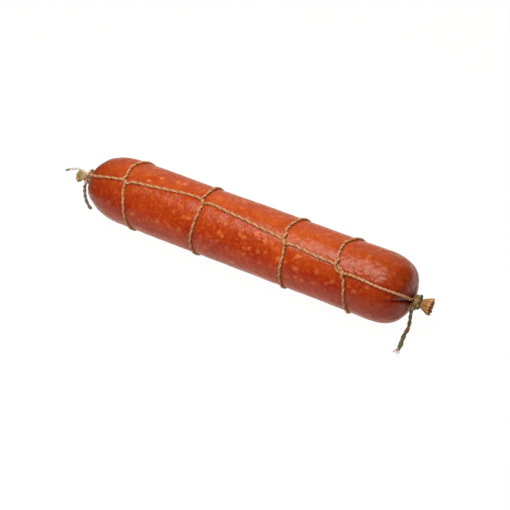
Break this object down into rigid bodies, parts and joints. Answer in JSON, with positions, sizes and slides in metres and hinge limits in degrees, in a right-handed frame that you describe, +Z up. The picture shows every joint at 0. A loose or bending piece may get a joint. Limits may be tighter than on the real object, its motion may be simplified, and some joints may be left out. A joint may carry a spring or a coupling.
{
  "type": "cured sausage",
  "caption": "Long cured sausage in a smoked casing, gathered at each end into a necked tuft and tied all round with two-ply twine.",
  "frame": {"origin": "on the ground under the middle of the bounding box", "axes": "+Z up, +X along the sausage towards its thicker, blunter end, -Y towards the side that the front lengthways run of twine faces"},
  "size_m": [0.3619, 0.0696, 0.0607],
  "materials": {
    "casing": "smoked edible casing over coarse cured meat, semi-gloss red-brown with paler fat flecks, drier and tan where it is gathered at the ends",
    "twine": "two-ply twisted cotton, one ply cream and one ply olive green"
  },
  "bodies": {
    "root": {"sausage": "casing", "twine_net": "twine", "tail_right": "twine", "tail_left": "twine"}
  },
  "joints": []
}
